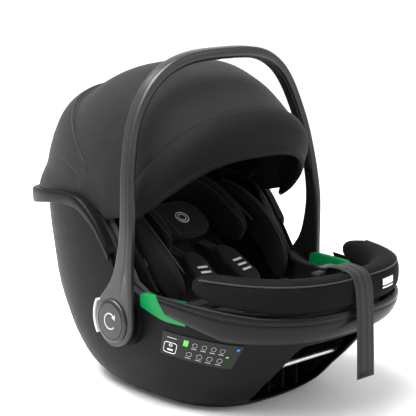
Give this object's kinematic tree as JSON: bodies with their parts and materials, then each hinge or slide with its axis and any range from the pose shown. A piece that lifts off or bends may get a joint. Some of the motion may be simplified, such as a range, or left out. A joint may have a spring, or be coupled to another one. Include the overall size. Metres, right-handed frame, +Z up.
{
  "type": "infant car seat",
  "caption": "Rocking infant carrier shell with an arched carry handle, folding canopy, padded foot bumper, headrest, harness and green belt guides.",
  "frame": {"origin": "centre of the flat rest under the rocker, straight below the handle's pivot line", "axes": "+Z up, -Y towards the foot end, +X to the child's left"},
  "size_m": [0.446, 0.6859, 0.5554],
  "materials": {
    "shell_plastic": "fine moulded grain",
    "trim_plastic": "satin moulded",
    "handle_plastic": "satin moulded",
    "grip_rubber": "soft grip",
    "band_plastic": "satin moulded",
    "green_plastic": "satin moulded, bright green",
    "grey_plastic": "satin light grey",
    "foam": "moulded bead foam",
    "seat_fabric": "black knitted fabric over foam",
    "bumper_fabric": "black woven fabric over foam",
    "canopy_fabric": "black woven canopy cloth",
    "webbing": "ribbed woven webbing",
    "steel": "bright drawn steel",
    "black_plastic": "moulded",
    "red_plastic": "moulded",
    "label_film": "printed film"
  },
  "bodies": {
    "shell": {"outer_shell": "shell_plastic", "front_latch_frame": "shell_plastic", "rear_latch_frame": "shell_plastic", "rim_trim": "trim_plastic", "canopy_bracket_left": "trim_plastic", "canopy_bracket_right": "trim_plastic", "front_band": "band_plastic", "belt_guide_left": "green_plastic", "belt_guide_right": "green_plastic", "shoulder_belt_hook": "green_plastic", "seat_liner": "foam", "seat_cover": "seat_fabric", "seat_insert": "seat_fabric", "shoulder_pad_left": "seat_fabric", "shoulder_pad_right": "seat_fabric", "foot_bumper_pad": "bumper_fabric", "canopy_rear_panel": "canopy_fabric", "adjuster_strap": "webbing", "crotch_strap": "webbing", "shoulder_strap_left": "webbing", "shoulder_strap_right": "webbing", "hip_strap_left": "webbing", "hip_strap_right": "webbing", "front_latch_bar": "steel", "rear_latch_bar": "steel", "pivot_pin_left": "steel", "pivot_pin_right": "steel", "buckle_tongue_left": "steel", "buckle_tongue_right": "steel", "buckle": "black_plastic", "adjuster_housing": "black_plastic", "lock_ring_left": "black_plastic", "lock_ring_right": "black_plastic", "canopy_hub_left": "black_plastic", "canopy_hub_right": "black_plastic", "side_label": "label_film"},
    "handle": {"carry_handle": "handle_plastic", "handle_lining": "grip_rubber", "hub_cap_left": "handle_plastic", "hub_cap_right": "handle_plastic", "button_spring_left": "steel", "button_spring_right": "steel"},
    "handle_button_left": {"handle_button_left": "grey_plastic"},
    "handle_button_right": {"handle_button_right": "grey_plastic"},
    "canopy_front": {"canopy_visor": "canopy_fabric", "canopy_front_panel": "canopy_fabric", "canopy_front_bow": "black_plastic"},
    "canopy_mid": {"canopy_mid_panel": "canopy_fabric", "canopy_mid_bow": "black_plastic"},
    "headrest": {"headrest": "seat_fabric", "head_pad": "seat_fabric"},
    "canopy_button_left": {"canopy_button_left": "grey_plastic"},
    "canopy_button_right": {"canopy_button_right": "grey_plastic"},
    "buckle_button": {"buckle_button": "red_plastic"},
    "adjuster_button": {"adjuster_button": "black_plastic"}
  },
  "joints": [
    {"name": "handle_turn", "type": "hinge", "parent": "shell", "child": "handle", "pos_m": [0, 0, 0.142], "axis": [1, 0, 0], "range_deg": [0, 100]},
    {"name": "handle_press_left", "type": "slide", "parent": "handle", "child": "handle_button_left", "axis": [0, -1, 0], "range_m": [0, 0.0035], "stiffness_N_per_m": 600},
    {"name": "handle_press_right", "type": "slide", "parent": "handle", "child": "handle_button_right", "axis": [0, -1, 0], "range_m": [0, 0.0035], "stiffness_N_per_m": 600},
    {"name": "canopy_fold", "type": "hinge", "parent": "shell", "child": "canopy_front", "pos_m": [0, 0.08, 0.332], "axis": [-1, 0, 0], "range_deg": [0, 66]},
    {"name": "canopy_fold_mid", "type": "hinge", "parent": "shell", "child": "canopy_mid", "pos_m": [0, 0.08, 0.332], "axis": [-1, 0, 0], "range_deg": [0, 33]},
    {"name": "headrest_height", "type": "slide", "parent": "shell", "child": "headrest", "axis": [0, 0.8572, 0.515], "range_m": [0, 0.05]},
    {"name": "canopy_release_left", "type": "slide", "parent": "shell", "child": "canopy_button_left", "axis": [1, 0, 0], "range_m": [0, 0.0018], "stiffness_N_per_m": 500},
    {"name": "canopy_release_right", "type": "slide", "parent": "shell", "child": "canopy_button_right", "axis": [-1, 0, 0], "range_m": [0, 0.0018], "stiffness_N_per_m": 500},
    {"name": "buckle_press", "type": "slide", "parent": "shell", "child": "buckle_button", "axis": [0, -0.2924, -0.9563], "range_m": [0, 0.0025], "stiffness_N_per_m": 900},
    {"name": "adjuster_press", "type": "slide", "parent": "shell", "child": "adjuster_button", "axis": [0, 0, -1], "range_m": [0, 0.002], "stiffness_N_per_m": 700}
  ],
  "couplings": [
    {"joint": "canopy_fold_mid", "follows": "canopy_fold", "ratio": 0.5}
  ]
}
